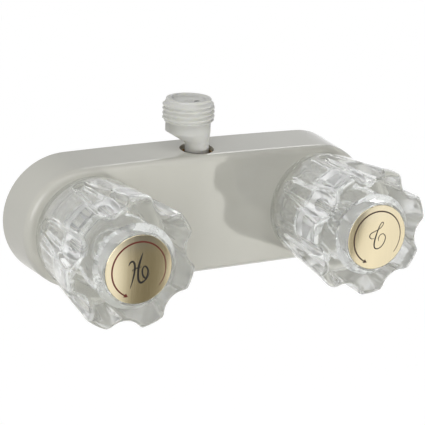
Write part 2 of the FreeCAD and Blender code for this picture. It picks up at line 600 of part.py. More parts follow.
def breaker_body():
    """Vacuum breaker's moulding: threaded spout, plain band, leaning cone and neck."""
    spout_x = -SPOUT_OFFSET
    thread = rod(SPOUT_THREAD_DIAMETER, SPOUT_THREAD_BOTTOM, SPOUT_THREAD_TOP, spout_x)
    ends = circle_edges(thread, SPOUT_THREAD_DIAMETER, SPOUT_THREAD_TOP)
    ends += circle_edges(thread, SPOUT_THREAD_DIAMETER, SPOUT_THREAD_BOTTOM)
    thread = thread.makeChamfer((SPOUT_THREAD_DIAMETER - SPOUT_DIAMETER) / 2 - RUNNING_GAP, ends)
    spout = rod(SPOUT_DIAMETER, BAND_BOTTOM, SPOUT_TOP, spout_x)
    spout = spout.makeFillet(SPOUT_RIM_RADIUS, circle_edges(spout, SPOUT_DIAMETER, SPOUT_TOP))
    wide = Part.Wire(Part.makeCircle(SPOUT_DIAMETER / 2, Vector(spout_x, 0, BAND_BOTTOM)))
    narrow = Part.Wire(Part.makeCircle(BREAKER_NECK_DIAMETER / 2, Vector(0, 0, NECK_TOP)))
    cone = Part.makeLoft([narrow, wide], True, True)
    neck = rod(BREAKER_NECK_DIAMETER, BREAKER_NECK_BOTTOM, NECK_TOP)
    neck_end = circle_edges(neck, BREAKER_NECK_DIAMETER, BREAKER_NECK_BOTTOM)
    neck = neck.makeChamfer(BREAKER_NECK_CHAMFER, neck_end)
    body = spout.fuse([thread, cone, neck])
    floor_bottom = BREAKER_FLOOR - BREAKER_FLOOR_WALL
    body = body.cut([
        rod(BREAKER_CHAMBER_DIAMETER, BREAKER_FLOOR, PLATE_SEAT + OVERRUN, spout_x),
        rod(PLATE_DIAMETER + 2 * GUIDE_GAP, PLATE_SEAT, SPOUT_TOP + OVERRUN, spout_x),
        rod(BREAKER_BORE_DIAMETER, BREAKER_NECK_BOTTOM - OVERRUN, BREAKER_FLOOR - BREAKER_FLOOR_WALL / 2),
        rod(BREAKER_BORE_DIAMETER, floor_bottom, BREAKER_FLOOR + OVERRUN, -BREAKER_SEAT_OFFSET),
    ])
    for index in range(VENT_COUNT):
        turn = math.radians(90 + VENT_SPREAD * (index - (VENT_COUNT - 1) / 2))
        vent_start = Vector(spout_x, 0, BREAKER_FLOOR + VENT_HEIGHT)
        vent_way = Vector(math.cos(turn), math.sin(turn), 0)
        body = body.cut(Part.makeCylinder(VENT_DIAMETER / 2, SPOUT_DIAMETER, vent_start, vent_way))
    groove_half = NECK_RING_SECTION * RING_GROOVE_RATIO / 2
    groove_floor = BREAKER_NECK_DIAMETER + 2 * GUIDE_GAP - 2 * NECK_RING_SECTION
    for height in NECK_RING_HEIGHTS:
        body = body.cut(tube(BREAKER_NECK_DIAMETER + OVERRUN, groove_floor,
                             height - groove_half, height + groove_half))
    return body.cut(ring_of_wire(BREAKER_NECK_DIAMETER, CLIP_WIRE + 2 * GUIDE_GAP, CLIP_HEIGHT))


def breaker_outlet_plate():
    """Disc in the spout with the water port beside its middle, and a guide for the poppet behind."""
    x = -SPOUT_OFFSET
    hub_bottom = POPPET_TOP + POPPET_LIFT + POPPET_STOP_GAP
    guide_top = POPPET_TOP + POPPET_PIN_LENGTH + POPPET_LIFT + POPPET_STOP_GAP
    plate = rod(PLATE_DIAMETER, PLATE_SEAT, PLATE_TOP, x)
    plate = plate.makeFillet(PLATE_EDGE_RADIUS, circle_edges(plate, PLATE_DIAMETER, PLATE_TOP))
    nub = rod(PLATE_NUB_DIAMETER, PLATE_TOP - OVERRUN, PLATE_TOP + PLATE_NUB_HEIGHT, x)
    nub = nub.makeFillet(PLATE_NUB_HEIGHT - RUNNING_GAP,
                         circle_edges(nub, PLATE_NUB_DIAMETER, PLATE_TOP + PLATE_NUB_HEIGHT))
    plate = plate.fuse([nub, rod(PLATE_HUB_DIAMETER, hub_bottom, PLATE_SEAT + OVERRUN, x)])
    angle = math.radians(PLATE_PORT_ANGLE)
    port = rod(PLATE_PORT_DIAMETER, PLATE_SEAT - OVERRUN, PLATE_TOP + OVERRUN,
               x + PLATE_PORT_OFFSET * math.cos(angle), PLATE_PORT_OFFSET * math.sin(angle))
    return plate.cut([port, rod(POPPET_PIN_DIAMETER + 2 * GUIDE_GAP, hub_bottom - OVERRUN, guide_top, x)])


def breaker_poppet():
    """Valve disc and guide pin that the water lifts to close the vents."""
    x = -SPOUT_OFFSET
    disc = rod(BREAKER_CHAMBER_DIAMETER - 2 * GUIDE_GAP, POPPET_BOTTOM, POPPET_TOP, x)
    pin_top = POPPET_TOP + POPPET_PIN_LENGTH
    pin = rod(POPPET_PIN_DIAMETER, POPPET_BOTTOM, pin_top, x)
    pin = pin.makeChamfer(POPPET_PIN_CHAMFER, circle_edges(pin, POPPET_PIN_DIAMETER, pin_top))
    return disc.fuse(pin)


def breaker_gasket():
    """Rubber face under the poppet that closes the inlet."""
    return rod(BREAKER_CHAMBER_DIAMETER - 4 * GUIDE_GAP, BREAKER_FLOOR, POPPET_BOTTOM, -SPOUT_OFFSET)


def breaker_neck_rings():
    """Two O-rings on the breaker's neck."""
    mean = BREAKER_NECK_DIAMETER + 2 * GUIDE_GAP - NECK_RING_SECTION - RUNNING_GAP
    rings = [ring_of_wire(mean, NECK_RING_SECTION - RUNNING_GAP, height) for height in NECK_RING_HEIGHTS]
    return Part.makeCompound(rings)


def breaker_clip():
    """Open wire ring that snaps between the tower and the neck and keeps the breaker in."""
    ring = Part.makeTorus(BREAKER_NECK_DIAMETER / 2, CLIP_WIRE / 2, Vector(0, 0, CLIP_HEIGHT),
                          Vector(0, 0, 1), 0, 360, 360 - CLIP_OPENING)
    ring.rotate(Vector(0, 0, 0), Vector(0, 0, 1), CLIP_OPENING / 2 - 90)
    return ring


def from_face(shape, x=0.0):
    """Turns a piece from the face frame to the part's frame, onto the valve axis at x."""
    placed = shape.copy()
    placed.rotate(Vector(0, 0, 0), Vector(1, 0, 0), 90)
    placed.translate(Vector(x, 0, 0))
    return placed


def on_outlet(shape):
    """Moves a piece that is drawn upright to the outlet's axis."""
    placed = shape.copy()
    placed.translate(Vector(0, -OUTLET_OUT, 0))
    return placed


def valve_pieces(side, lobe_angle):
    """Pieces of one valve by name, placed on its axis."""
    pieces = {
        "knob": knob(lobe_angle),
        "index_button": index_button(),
        "knob_screw": knob_screw(),
        "stem": stem(lobe_angle),
        "stem_ring": stem_ring(),
        "bonnet": bonnet(),
        "port_seal": port_seal(),
        "seal_spring": seal_spring(),
        "cover_nut": cover_nut(),
        "wall_washer": wall_washer(),
        "lock_nut": lock_nut(),
    }
    x = side * VALVE_CENTRES / 2
    return {name: from_face(shape, x) for name, shape in pieces.items()}


def all_pieces():
    """Every piece of the valve by node name."""
    pieces = {"cover": from_face(cover()), "waterway": from_face(waterway())}
    for temperature, side, lobe_angle in (("hot", -1, HOT_LOBE_ANGLE), ("cold", 1, COLD_LOBE_ANGLE)):
        for name, shape in valve_pieces(side, lobe_angle).items():
            pieces[temperature + "_" + name] = shape
    for build in (breaker_body, breaker_outlet_plate, breaker_poppet, breaker_gasket, breaker_neck_rings,
                  breaker_clip):
        pieces[build.__name__] = on_outlet(build())
    return pieces


if __name__ == "__main__":
    os.makedirs("parts", exist_ok=True)
    for node, shape in all_pieces().items():
        shape.exportStep("parts/" + node + ".step")
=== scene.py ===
import math

import bmesh
import bpy
from bpy.props import FloatProperty, FloatVectorProperty, PointerProperty
from bpy.types import Operator, Panel, PropertyGroup
from mathutils import Matrix, Vector


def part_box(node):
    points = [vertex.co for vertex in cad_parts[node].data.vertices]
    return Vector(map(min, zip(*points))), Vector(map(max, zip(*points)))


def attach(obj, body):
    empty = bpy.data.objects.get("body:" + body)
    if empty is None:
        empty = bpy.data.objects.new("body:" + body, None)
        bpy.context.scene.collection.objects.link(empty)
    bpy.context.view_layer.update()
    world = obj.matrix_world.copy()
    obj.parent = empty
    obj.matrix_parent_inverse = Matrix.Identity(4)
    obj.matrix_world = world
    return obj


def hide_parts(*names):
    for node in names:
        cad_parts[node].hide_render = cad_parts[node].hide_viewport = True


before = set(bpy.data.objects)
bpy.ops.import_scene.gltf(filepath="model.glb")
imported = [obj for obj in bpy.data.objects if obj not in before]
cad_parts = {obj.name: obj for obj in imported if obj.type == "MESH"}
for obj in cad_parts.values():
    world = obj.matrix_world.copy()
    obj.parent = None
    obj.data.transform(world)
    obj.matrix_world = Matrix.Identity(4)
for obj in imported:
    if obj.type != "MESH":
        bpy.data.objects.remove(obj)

# Dresses the outdoor shower valve: clear lobed knobs, gold index buttons with their marks, a bisque cover,
# a milky vacuum breaker with its hose thread, and the brass waterway with its threaded shanks.
# Lengths are metres, in the frame's own axes: +X to the cold side, +Y into the wall, +Z up.

bl_info = {
    "name": "Outdoor Shower Valve",
    "version": (1, 0, 0),
    "blender": (4, 5, 0),
    "location": "View3D > Sidebar > Shower Valve",
    "description": "Finishes, threads, index marks and studio for a two-knob outdoor shower valve",
    "category": "Object",
}

SIDES = ("hot", "cold")
UP = Vector((0, 0, 1))
RIGHT = Vector((1, 0, 0))
INTO_WALL = Vector((0, 1, 0))
OUT_OF_WALL = Vector((0, -1, 0))
FULL_TURN = 2 * math.pi
SHARP_EDGE = math.radians(32)
CLEAR_BOUNCES = 40

# The knobs' fine lines, as bump: how far out from the wall they run, how far from the knob's axis they lie,
# and their heights as shares of LINE_RELIEF. A flute's half width grows along its run towards the face
LOBES = 7
LOBE_ANGLES = {"hot": 32.7, "cold": 19.0}
LINE_RELIEF = 0.00025
CAVITY_RIBS = 28
CAVITY_WALL = (0.0150, 0.0178)
CAVITY_END = 0.0445
RIB_HEIGHT = 0.6
FLUTE_RUN = (0.031, 0.066)
FLUTE_HALF_WIDTHS = (0.0037, 0.0077)
FLUTE_FLOOR = 0.0186
FLUTE_STREAKS = 2.5
STREAK_REACH = 1.25
STREAK_FADE = (0.046, 0.056)
STREAK_HEIGHT = 0.40
FLOW_WAVES = (420, 24, 420)
FLOW_HEIGHT = 0.25

# The knobs' skirt beside the cover is thin and half see-through, and their shadow is pale
SKIRT_DEPTH = 0.0036
SKIRT_CLEARNESS = 0.5
SKIRT_TINT = (0.97, 0.97, 0.95)
SHADOW_TINT = (0.42, 0.42, 0.40)

THREAD_RADIUS = 0.01045
# Painted shade: the near-black colour painted into the deep inside of the breaker plate's water port
PORT_PAINTED_SHADE = (0.02, 0.018, 0.015)

# What gloss and clear pieces see round about: degrees from the front towards the right, and brightness
GLOSS_SURROUND = (
    (-180, 0.80), (-95, 1.0), (-60, 0.85), (-30, 0.70), (-4, 0.90), (9, 0.95), (13, 0.70), (17, 0.35),
    (21, 0.20), (30, 0.17), (34, 0.26), (38, 0.20), (45, 0.15), (58, 0.17), (74, 1.0), (140, 1.12),
    (148, 1.12), (158, 0.80), (180, 0.80),
)
CLEAR_SURROUND = (
    (-180, 0.92), (-120, 0.88), (-60, 0.90), (-20, 0.92), (40, 0.92), (80, 0.90), (120, 0.88), (180, 0.92),
)
# White panels with dark gaps between them, round the valve's face: degrees from the right upwards
CLEAR_PANELS = (
    (-180, 1.0), (-168, 1.1), (-162, 0.35), (-150, 0.90), (-128, 0.90), (-120, 0.25), (-100, 0.95),
    (-72, 0.95), (-66, 0.35), (-50, 1.05), (-20, 1.1), (-10, 0.25), (5, 1.1), (30, 1.15), (38, 0.25),
    (55, 1.2), (80, 1.2), (88, 0.25), (100, 1.2), (128, 1.15), (138, 0.35), (150, 1.15), (180, 1.0),
)
# The dark parts of the surround look warm in gloss: powers of their brightness for two channels
GLOSS_WARMTH = (("Green", 0.06), ("Blue", 0.24))

# The stage is measured from the valve's middle. The floor keeps a share of the valve's shadow
MIDDLE = Vector((0, -0.035, 0))
FLOOR_HALF = 4.0
FLOOR_WHITE = 1.12
FLOOR_SHADOW = 0.15
AMBIENT_FROM = (-0.95, 0.10, 0.22)

# Each lamp's place and aim, its width and height, and the kinds of ray that pass it by
LAMPS = {
    "key": ((0.795, -1.5, -0.45), (0, 0, 0), (0.06, 0.06), ("glossy", "transmission")),
    "fill": ((0.1, -0.8, 1.0), (0, 0, 0), (1.3, 0.5), ()),
    "wash": ((-0.25, -0.22, 0.09), (0, 0, 0), (0.2, 0.2), ()),
    "card": ((0.165, -0.145, -0.06), (0.05, -0.035, 0), (0.16, 0.34), ("diffuse", "transmission")),
    "edge": ((0.75, 0.95, 0.95), (0, 0, 0), (0.7, 0.45), ("diffuse", "transmission")),
}

# Index marks, as shares of the button's radius: across, up, and the line's width
HOT_STROKES = (
    ((-0.33, 0.17, 0.02), (-0.29, 0.25, 0.05), (-0.22, 0.285, 0.06), (-0.165, 0.22, 0.065),
     (-0.15, 0.10, 0.065), (-0.165, -0.06, 0.06), (-0.20, -0.24, 0.05), (-0.27, -0.50, 0.02)),
    ((0.09, 0.50, 0.02), (0.03, 0.34, 0.06), (-0.02, 0.18, 0.075), (-0.045, 0.04, 0.075),
     (-0.05, -0.13, 0.07), (-0.03, -0.28, 0.07), (0.03, -0.36, 0.07), (0.12, -0.34, 0.065),
     (0.22, -0.25, 0.045), (0.30, -0.12, 0.015)),
    ((0.22, -0.28, 0.04), (0.13, -0.21, 0.055), (0.08, -0.10, 0.06), (0.08, 0.03, 0.055),
     (0.14, 0.105, 0.045), (0.20, 0.07, 0.055), (0.25, -0.03, 0.06), (0.24, -0.14, 0.055),
     (0.19, -0.26, 0.03)),
    ((-0.24, 0.01, 0.015), (-0.16, 0.06, 0.04), (-0.05, 0.09, 0.04), (0.05, 0.10, 0.015)),
)
COLD_STROKES = (
    ((-0.14, 0.0, 0.015), (-0.24, 0.0, 0.03), (-0.30, 0.07, 0.04), (-0.27, 0.16, 0.035),
     (-0.14, 0.215, 0.03), (0.02, 0.28, 0.03), (0.12, 0.36, 0.03), (0.16, 0.44, 0.03),
     (0.12, 0.475, 0.03), (0.05, 0.41, 0.035), (-0.03, 0.24, 0.045), (-0.10, 0.02, 0.055),
     (-0.13, -0.18, 0.055), (-0.09, -0.31, 0.045), (0.02, -0.34, 0.04), (0.15, -0.27, 0.04),
     (0.24, -0.12, 0.04), (0.25, 0.02, 0.035), (0.17, 0.11, 0.03), (0.07, 0.09, 0.03),
     (0.01, 0.0, 0.035), (0.02, -0.10, 0.015)),
)


def millimetres(value):
    """Length in metres."""
    return value / 1000


def length(name, description, default, low=0.0):
    """Length property, in metres."""
    return FloatProperty(name=name, description=description, default=default, min=low, precision=5,
                         subtype="DISTANCE", unit="LENGTH")


def colour(name, description, default):
    """Colour property, in linear red, green and blue."""
    return FloatVectorProperty(name=name, description=description, default=default, size=3,
                               min=0.0, max=1.0, subtype="COLOR")


def soft_light(name, description, default):
    """Strength of soft light, where 1 is white."""
    return FloatProperty(name=name, description=description, default=default, min=0.0)


def power(name, description, default):
    """Power of a lamp, in watts."""
    return FloatProperty(name=name, description=description, default=default, min=0.0, subtype="POWER")


def angle(name, description, default):
    """Angle property, given in degrees."""
    return FloatProperty(name=name, description=description, default=math.radians(default),
                         subtype="ANGLE", unit="ROTATION")


class ValveColours(PropertyGroup):
    cover: colour("Cover", "Moulded bisque cover", (0.595, 0.588, 0.530))
    acrylic: colour("Knobs", "Clear acrylic of the knobs", (0.975, 0.985, 0.975))
    gold: colour("Buttons", "Satin gold of the index buttons", (0.90, 0.80, 0.575))
    breaker: colour("Breaker", "Milky vacuum breaker", (0.70, 0.70, 0.665))
    brass: colour("Waterway", "Cast brass of the waterway and lock nuts", (0.62, 0.42, 0.18))
    plate: colour("Plated necks", "Plated necks of the waterway, behind the knobs", (0.42, 0.42, 0.39))
    acetal: colour("Stems", "Natural acetal of the stems, bonnets and cover nuts", (0.58, 0.57, 0.53))
    steel: colour("Steel", "Plated steel of the screws, springs, washers and clip", (0.60, 0.60, 0.60))
    rubber: colour("Rubber", "Matt rubber of the seals and rings", (0.035, 0.035, 0.036))
    letter: colour("Letters", "Ink of the two letters", (0.012, 0.009, 0.006))
    hot_arrow: colour("Hot arrow", "Ink of the hot button's arrow", (0.13, 0.018, 0.008))
    cold_arrow: colour("Cold arrow", "Ink of the cold button's arrow", (0.060, 0.030, 0.014))


class ValveThreads(PropertyGroup):
    pitch: length("Pitch", "Rise of a half-inch pipe thread in one turn", 0.001814, low=0.0005)
    depth: length("Depth", "Depth of the thread from crest to root", 0.00112, low=0.0001)


class ValveMarks(PropertyGroup):
    relief: length("Relief", "Height of the printed lines above the button", 0.00004)
    arrow_radius: FloatProperty(name="Arrow radius",
                                description="Share of the button's radius at the arrow",
                                default=0.81, min=0.3, max=0.95)
    arrow_start: angle("Arrow start", "Where the arrow's tail lies, from the right", -40)
    arrow_end: angle("Arrow end", "Where the arrow's head lies, from the right", 240)


class ValveStage(PropertyGroup):
    floor_height: length("Floor height", "Height of the floor in the frame", -0.70, low=-2.0)
    floor: colour("Floor", "Pale studio floor", (0.75, 0.75, 0.74))
    ambient: soft_light("Ambient", "Soft light from all round", 0.35)
    ambient_lean: soft_light("Ambient lean", "Extra soft light from the upper left", 0.34)
    key_power: power("Key lamp", "Power of the small lamp in front, at the lower right", 11.5)
    fill_power: power("Fill lamp", "Power of the long soft lamp over the front", 3.0)
    wash_power: power("Wash lamp", "Power of the near lamp at the upper left", 0.36)
    card_power: power("Card", "Power of the white card that only gloss sees", 0.105)
    edge_power: power("Edge lamp", "Power of the lamp behind and above that only gloss sees", 2.4)


# Material building

def new_material(name, **constants):
    """Material with one Principled shader, whose constant values are set on its own sockets."""
    material = bpy.data.materials.new(name)
    material.use_nodes = True
    shader = material.node_tree.nodes["Principled BSDF"]
    for socket, value in constants.items():
        shader.inputs[socket.replace("_", " ")].default_value = value
    return material, material.node_tree, shader


def maths(tree, operation, first, second=0.0):
    """Result of a sum on sockets or numbers."""
    node = tree.nodes.new("ShaderNodeMath")
    node.operation = operation
    for socket, value in zip(node.inputs, (first, second)):
        if isinstance(value, (int, float)):
            socket.default_value = value
        else:
            tree.links.new(value, socket)
    return node.outputs["Value"]


def product(tree, *factors):
    """Product of sockets or numbers."""
    result = factors[0]
    for factor in factors[1:]:
        result = maths(tree, "MULTIPLY", result, factor)
    return result


def between(tree, value, low, high):
    """1 where a value lies between two numbers, and 0 elsewhere."""
    return product(tree, maths(tree, "GREATER_THAN", value, low), maths(tree, "LESS_THAN", value, high))


def hypotenuse(tree, first, second):
    """Distance from two lengths at a right angle."""
    squares = [maths(tree, "POWER", side, 2) for side in (first, second)]
    return maths(tree, "POWER", maths(tree, "ADD", *squares), 0.5)


def mixed_shader(tree, share, first, second):
    """Shader between the first and the second."""
    mix = tree.nodes.new("ShaderNodeMixShader")
    tree.links.new(share, mix.inputs["Fac"])
    tree.links.new(first, mix.inputs[1])
    tree.links.new(second, mix.inputs[2])
    return mix.outputs["Shader"]


def see_through(tree, tint):
    """Shader that lets rays straight on."""
    shader = tree.nodes.new("ShaderNodeBsdfTransparent")
    shader.inputs["Color"].default_value = (*tint, 1)
    return shader.outputs["BSDF"]


def place_on(tree, stretch=(1, 1, 1)):
    """The piece's own coordinates, stretched."""
    coordinates = tree.nodes.new("ShaderNodeTexCoord")
    mapping = tree.nodes.new("ShaderNodeMapping")
    mapping.inputs["Scale"].default_value = stretch
    tree.links.new(coordinates.outputs["Object"], mapping.inputs["Vector"])
    return mapping.outputs["Vector"]


def noise(tree, scale, detail=3.0, stretch=(1, 1, 1)):
    """Noise over the piece, scale in waves to the metre."""
    texture = tree.nodes.new("ShaderNodeTexNoise")
    texture.inputs["Scale"].default_value = scale
    texture.inputs["Detail"].default_value = detail
    tree.links.new(place_on(tree, stretch), texture.inputs["Vector"])
    return texture.outputs["Fac"]


def spread(tree, factor, low, high, start=0.3, end=0.7):
    """A factor spread from low to high."""
    ranged = tree.nodes.new("ShaderNodeMapRange")
    ranged.inputs["From Min"].default_value = start
    ranged.inputs["From Max"].default_value = end
    ranged.inputs["To Min"].default_value = low
    ranged.inputs["To Max"].default_value = high
    tree.links.new(factor, ranged.inputs["Value"])
    return ranged.outputs["Result"]


def tinted(tree, factor, base, shade):
    """Colour that wanders between the base and a shade of it."""
    mix = tree.nodes.new("ShaderNodeMix")
    mix.data_type = "RGBA"
    mix.inputs["A"].default_value = (*[c * shade for c in base], 1)
    mix.inputs["B"].default_value = (*base, 1)
    tree.links.new(spread(tree, factor, 0, 1), mix.inputs["Factor"])
    return mix.outputs["Result"]


def split_axes(tree, vector):
    """X, Y and Z of a place or direction."""
    split = tree.nodes.new("ShaderNodeSeparateXYZ")
    tree.links.new(vector, split.inputs["Vector"])
    return split.outputs


def axes_of(tree):
    """The piece's own X, Y and Z."""
    return split_axes(tree, place_on(tree))


def recoloured(tree, shader, share, other):
    """Gives the shader another base colour where the share is 1."""
    mix = tree.nodes.new("ShaderNodeMix")
    mix.data_type = "RGBA"
    mix.inputs["B"].default_value = (*other, 1)
    tree.links.new(shader.inputs["Base Color"].links[0].from_socket, mix.inputs["A"])
    tree.links.new(share, mix.inputs["Factor"])
    tree.links.new(mix.outputs["Result"], shader.inputs["Base Color"])


def bumped(tree, shader, height, strength, distance):
    """Fine relief from a height."""
    bump = tree.nodes.new("ShaderNodeBump")
    bump.inputs["Strength"].default_value = strength
    bump.inputs["Distance"].default_value = distance
    tree.links.new(height, bump.inputs["Height"])
    tree.links.new(bump.outputs["Normal"], shader.inputs["Normal"])


def moulded_plastic(name, base, roughness, shade=0.96, relief=0.12, **constants):
    """Moulded plastic: a faint wander of colour and gloss, and a trace of orange peel."""
    material, tree, shader = new_material(name, **constants)
    tree.links.new(tinted(tree, noise(tree, 45), base, shade), shader.inputs["Base Color"])
    gloss = spread(tree, noise(tree, 160), roughness * 0.85, roughness * 1.2)
    tree.links.new(gloss, shader.inputs["Roughness"])
    bumped(tree, shader, noise(tree, 900, detail=2), strength=relief, distance=millimetres(0.05))
    return material


def cast_metal(name, base, plate, roughness):
    """Sand-cast metal with a grainy skin and darker hollows, plated where it stands before the cover."""
    material, tree, shader = new_material(name, Metallic=1.0)
    tree.links.new(tinted(tree, noise(tree, 220, detail=6), base, 0.62), shader.inputs["Base Color"])
    in_front = maths(tree, "LESS_THAN", axes_of(tree)["Y"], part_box("cover")[0].y)
    recoloured(tree, shader, in_front, plate)
    gloss = spread(tree, noise(tree, 90), roughness * 0.8, roughness * 1.3)
    tree.links.new(gloss, shader.inputs["Roughness"])
    bumped(tree, shader, noise(tree, 1600, detail=5), strength=0.35, distance=millimetres(0.12))
    return material


def brushed_metal(name, base, roughness, stretch, relief=0.10):
    """Brushed metal: long fine streaks of gloss and relief, across the stretched axes."""
    material, tree, shader = new_material(name, Metallic=1.0)
    streaks = noise(tree, 1, detail=4, stretch=stretch)
    tree.links.new(tinted(tree, streaks, base, 0.93), shader.inputs["Base Color"])
    tree.links.new(spread(tree, streaks, roughness * 0.8, roughness * 1.25), shader.inputs["Roughness"])
    bumped(tree, shader, streaks, strength=relief, distance=millimetres(0.02))
    return material


def plain_rubber(name, base):
    """Matt black rubber with a dusty bloom."""
    material, tree, shader = new_material(name)
    tree.links.new(tinted(tree, noise(tree, 300), base, 0.6), shader.inputs["Base Color"])
    tree.links.new(spread(tree, noise(tree, 500), 0.55, 0.8), shader.inputs["Roughness"])
    return material


def printed_ink(name, base):
    """Printed ink with a slightly uneven film."""
    material, tree, shader = new_material(name)
    tree.links.new(tinted(tree, noise(tree, 900), base, 0.7), shader.inputs["Base Color"])
    tree.links.new(spread(tree, noise(tree, 700), 0.30, 0.5), shader.inputs["Roughness"])
    return material


def knob_relief(tree, temperature):
    """Height of a knob's fine lines: ribs along its rear cavity's wall, and streaks along each flute."""
    low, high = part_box(temperature + "_knob")
    axes = axes_of(tree)
    across = maths(tree, "SUBTRACT", axes["X"], (low.x + high.x) / 2)
    around = maths(tree, "ARCTAN2", axes["Z"], across)
    distance = hypotenuse(tree, across, axes["Z"])
    out = product(tree, axes["Y"], -1)
    ribs = product(tree, maths(tree, "SINE", product(tree, around, CAVITY_RIBS)), RIB_HEIGHT)
    on_cavity = product(tree, between(tree, distance, *CAVITY_WALL),
                        maths(tree, "LESS_THAN", out, CAVITY_END))
    first_flute = math.radians(LOBE_ANGLES[temperature]) * LOBES / FULL_TURN + 0.5
    flutes = maths(tree, "SUBTRACT", product(tree, around, LOBES / FULL_TURN), first_flute)
    from_middle = maths(tree, "SUBTRACT", flutes, maths(tree, "ROUND", flutes))
    arc = product(tree, from_middle, distance, FULL_TURN / LOBES)
    share = maths(tree, "DIVIDE", arc, spread(tree, out, *FLUTE_HALF_WIDTHS, *FLUTE_RUN))
    waves = maths(tree, "COSINE", product(tree, share, FULL_TURN * FLUTE_STREAKS))
    streaks = product(tree, waves, spread(tree, out, 1, 0, *STREAK_FADE), STREAK_HEIGHT)
    on_flute = product(tree, between(tree, share, -STREAK_REACH, STREAK_REACH),
                       maths(tree, "GREATER_THAN", distance, FLUTE_FLOOR),
                       maths(tree, "GREATER_THAN", out, FLUTE_RUN[0]))
    return maths(tree, "ADD", product(tree, ribs, on_cavity), product(tree, streaks, on_flute))


def clear_acrylic(name, base, temperature):
    """Clear acrylic with faint flow marks, which lets part of the lamps' light through."""
    material, tree, shader = new_material(name, Transmission_Weight=0.90, IOR=1.49)
    tree.links.new(tinted(tree, noise(tree, 60), base, 0.985), shader.inputs["Base Color"])
    tree.links.new(spread(tree, noise(tree, 120), 0.03, 0.06), shader.inputs["Roughness"])
    flow = product(tree, noise(tree, 1, detail=2, stretch=FLOW_WAVES), FLOW_HEIGHT)
    height = maths(tree, "ADD", knob_relief(tree, temperature), flow)
    bumped(tree, shader, height, strength=1.0, distance=LINE_RELIEF)
    skirt_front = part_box(temperature + "_knob")[1].y - SKIRT_DEPTH
    on_skirt = maths(tree, "GREATER_THAN", axes_of(tree)["Y"], skirt_front)
    skirt = mixed_shader(tree, product(tree, on_skirt, SKIRT_CLEARNESS), shader.outputs["BSDF"],
                         see_through(tree, SKIRT_TINT))
    rays = tree.nodes.new("ShaderNodeLightPath")
    shaded = mixed_shader(tree, rays.outputs["Is Shadow Ray"], skirt, see_through(tree, SHADOW_TINT))
    tree.links.new(shaded, tree.nodes["Material Output"].inputs["Surface"])
    return material


# Mesh building

def smooth(mesh):
    """Smooth shading with sharp edges where faces meet at a clear angle."""
    mesh.polygons.foreach_set("use_smooth", [True] * len(mesh.polygons))
    mesh.set_sharp_from_angle(angle=SHARP_EDGE)
    mesh.update()


def finish_node(node, material):
    """Gives a node of the frame its finish."""
    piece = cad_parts[node]
    piece.data.materials.clear()
    piece.data.materials.append(material)


def copy_of(node, name):
    """A piece with a node's own shape, its seams closed so that it can be worked on."""
    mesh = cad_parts[node].data.copy()
    mesh.name = name
    work = bmesh.new()
    work.from_mesh(mesh)
    bmesh.ops.remove_doubles(work, verts=work.verts, dist=millimetres(0.0005))
    work.to_mesh(mesh)
    work.free()
    piece = bpy.data.objects.new(name, mesh)
    bpy.context.scene.collection.objects.link(piece)
    return piece


def mesh_piece(name, work, materials):
    """A piece from a bmesh."""
    bmesh.ops.recalc_face_normals(work, faces=work.faces)
    mesh = bpy.data.meshes.new(name)
    work.to_mesh(mesh)
    work.free()
    for material in materials:
        mesh.materials.append(material)
    smooth(mesh)
    piece = bpy.data.objects.new(name, mesh)
    bpy.context.scene.collection.objects.link(piece)
    return piece


def bridge(work, rings, closed=False, material=0):
    """Faces between rings of vertices that have the same count."""
    pairs = list(zip(rings, rings[1:]))
    if closed:
        pairs.append((rings[-1], rings[0]))
    for low, high in pairs:
        for index in range(len(low)):
            after = (index + 1) % len(low)
            face = work.faces.new((low[index], low[after], high[after], high[index]))
            face.material_index = material


def thread_profile(phase):
    """Depth of a rounded thread at a phase of its pitch: 0 at the crest and 1 at the root."""
    crest = 0.16
    flank = 0.68
    wave = 1 - abs(2 * (phase % 1.0) - 1)
    ramp = min(max((wave - crest) / flank, 0.0), 1.0)
    return ramp * ramp * (3 - 2 * ramp)


def spoke(way, side, turn):
    """Way out from an axis at a share of a turn from its side."""
    return side * math.cos(FULL_TURN * turn) + way.cross(side) * math.sin(FULL_TURN * turn)


def lathed(work, profile, foot, way, side, facets):
    """Rings of vertices round an axis, from pairs of distance from it and height along it."""
    rings = []
    for distance, height in profile:
        rings.append([work.verts.new(foot + way * height + spoke(way, side, index / facets) * distance)
                      for index in range(facets)])
    return rings


def thread_cutter(foot, way, side, radius, run, settings):
    """Sleeve whose inside is a helical thread, to be cut from a plain round bar."""
    facets = 120
    rows_per_pitch = 14
    crest_gap = millimetres(0.02)
    sleeve_wall = millimetres(1.5)
    rows = math.ceil(run / settings.pitch * rows_per_pitch)
    work = bmesh.new()
    rings = []
    for row in range(rows + 1):
        rise = run * row / rows
        ring = []
        for index in range(facets):
            turn = index / facets
            cut = settings.depth * thread_profile(rise / settings.pitch - turn)
            reach = radius - crest_gap - cut
            ring.append(work.verts.new(foot + way * rise + spoke(way, side, turn) * reach))
        rings.append(ring)
    outside = radius + sleeve_wall
    rings += lathed(work, ((outside, run), (outside, 0.0)), foot, way, side, facets)
    bridge(work, rings, closed=True)
    return mesh_piece("thread_cutter", work, [])


def carve(piece, cutter):
    """Takes the cutter out of the piece."""
    cut = piece.modifiers.new("carve", "BOOLEAN")
    cut.operation = "DIFFERENCE"
    cut.solver = "EXACT"
    cut.object = cutter
    graph = bpy.context.evaluated_depsgraph_get()
    worked = bpy.data.meshes.new_from_object(piece.evaluated_get(graph))
    if len(worked.polygons) == 0:
        raise RuntimeError("nothing is left of " + piece.name)
    piece.modifiers.clear()
    piece.data = worked
    bpy.data.objects.remove(cutter)
    smooth(worked)


